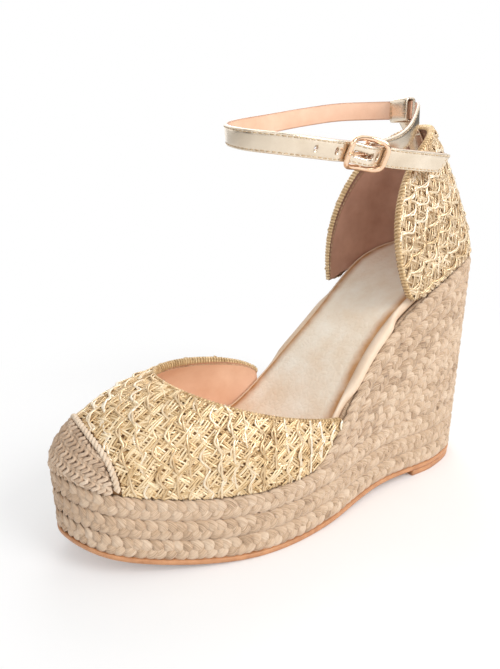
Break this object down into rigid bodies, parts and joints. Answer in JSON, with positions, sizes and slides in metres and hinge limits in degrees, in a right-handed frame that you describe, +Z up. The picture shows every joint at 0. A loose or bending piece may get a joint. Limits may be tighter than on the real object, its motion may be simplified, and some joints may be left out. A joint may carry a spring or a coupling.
{
  "type": "wedge sandal",
  "caption": "Closed-toe espadrille wedge sandal, left foot: plaited jute platform wedge, woven vamp and heel counter, buckled ankle strap.",
  "frame": {"origin": "on the ground, at the middle of the heel lift's flat resting face", "axes": "+Z up, -Y towards the toe, +Y towards the heel, +X towards the wearer's left, which is the outer side of this left shoe"},
  "size_m": [0.0938, 0.2316, 0.1912],
  "materials": {
    "sole_rubber": "tan brown moulded rubber",
    "cork": "pressed cork",
    "fibre_board": "fibre board",
    "foam": "soft foam",
    "sock_leather": "cream suede-like leather",
    "jute": "plaited jute",
    "jute_crochet": "crocheted jute",
    "stiffener": "stiff sheet",
    "raffia": "woven raffia with metallic thread",
    "rose_gold": "polished rose gold plating",
    "pink_lining": "smooth pink tan lining leather",
    "gold_leather": "champagne gold metallic leather"
  },
  "bodies": {
    "shoe": {"outsole": "sole_rubber", "heel_lift": "sole_rubber", "wedge_core": "cork", "insole_board": "fibre_board", "footbed_foam": "foam", "sock_lining": "sock_leather", "insole_rand": "sock_leather", "rope_course_1": "jute", "rope_course_2": "jute", "rope_course_3": "jute", "fan_course_1": "jute", "fan_course_2": "jute", "fan_course_3": "jute", "fan_course_4": "jute", "fan_course_5": "jute", "fan_course_6": "jute", "fan_course_7": "jute", "fan_course_8": "jute", "fan_course_9": "jute", "toe_cap": "jute_crochet", "toe_cap_edging": "jute_crochet", "toe_puff": "stiffener", "vamp": "raffia", "vamp_lining": "pink_lining", "vamp_binding": "raffia", "counter_shell": "raffia", "counter_stiffener": "stiffener", "counter_lining": "pink_lining", "counter_binding": "raffia", "heel_tab": "gold_leather"},
    "ankle_loop": {"heel_loop": "gold_leather", "strap_back": "gold_leather", "strap_back_lining": "pink_lining"},
    "inner_strap": {"strap_side": "gold_leather", "strap_side_lining": "pink_lining"},
    "front_strap": {"strap_front": "gold_leather", "strap_front_lining": "pink_lining"},
    "strap_tail": {"strap_end": "gold_leather", "strap_end_lining": "pink_lining"},
    "buckle_tab": {"buckle_strap": "gold_leather"},
    "buckle": {"buckle_frame": "rose_gold"},
    "prong": {"buckle_prong": "rose_gold"}
  },
  "joints": [
    {"name": "strap_tilt", "type": "hinge", "parent": "shoe", "child": "ankle_loop", "pos_m": [-0.004, 0.0072, 0.1782], "axis": [-1, 0, 0], "range_deg": [-8, 55]},
    {"name": "strap_open", "type": "hinge", "parent": "ankle_loop", "child": "inner_strap", "pos_m": [-0.01223, -0.00017, 0.18582], "axis": [-0.032, -0.0209, -0.9993], "range_deg": [0, 16], "deforming": ["strap_end", "strap_end_lining"]},
    {"name": "strap_unroll", "type": "hinge", "parent": "inner_strap", "child": "front_strap", "pos_m": [-0.02563, -0.08068, 0.17872], "axis": [-0.0491, 0.106, -0.9932], "range_deg": [0, 32], "deforming": ["strap_end", "strap_end_lining"]},
    {"name": "strap_tail_out", "type": "hinge", "parent": "front_strap", "child": "strap_tail", "pos_m": [0.02347, -0.09115, 0.17032], "axis": [-0.3296, 0.013, -0.944], "range_deg": [0, 48], "deforming": ["strap_end", "strap_end_lining"]},
    {"name": "buckle_tab_swing", "type": "hinge", "parent": "ankle_loop", "child": "buckle_tab", "pos_m": [0.00643, 0.00182, 0.18418], "axis": [0, 0, 1], "range_deg": [-6, 30], "deforming": ["strap_end", "strap_end_lining"]},
    {"name": "buckle_turn", "type": "hinge", "parent": "buckle_tab", "child": "buckle", "pos_m": [0.02965, -0.05394, 0.16538], "axis": [0.3876, 0.1102, 0.9152], "range_deg": [-35, 16], "deforming": ["strap_end", "strap_end_lining"]},
    {"name": "prong_lift", "type": "hinge", "parent": "buckle", "child": "prong", "pos_m": [0.02965, -0.05394, 0.16538], "axis": [0.3876, 0.1102, 0.9152], "range_deg": [0, 120], "deforming": ["strap_end", "strap_end_lining"]}
  ],
  "couplings": [
    {"joint": "strap_unroll", "follows": "strap_open", "ratio": 2},
    {"joint": "strap_tail_out", "follows": "strap_open", "ratio": 3}
  ]
}
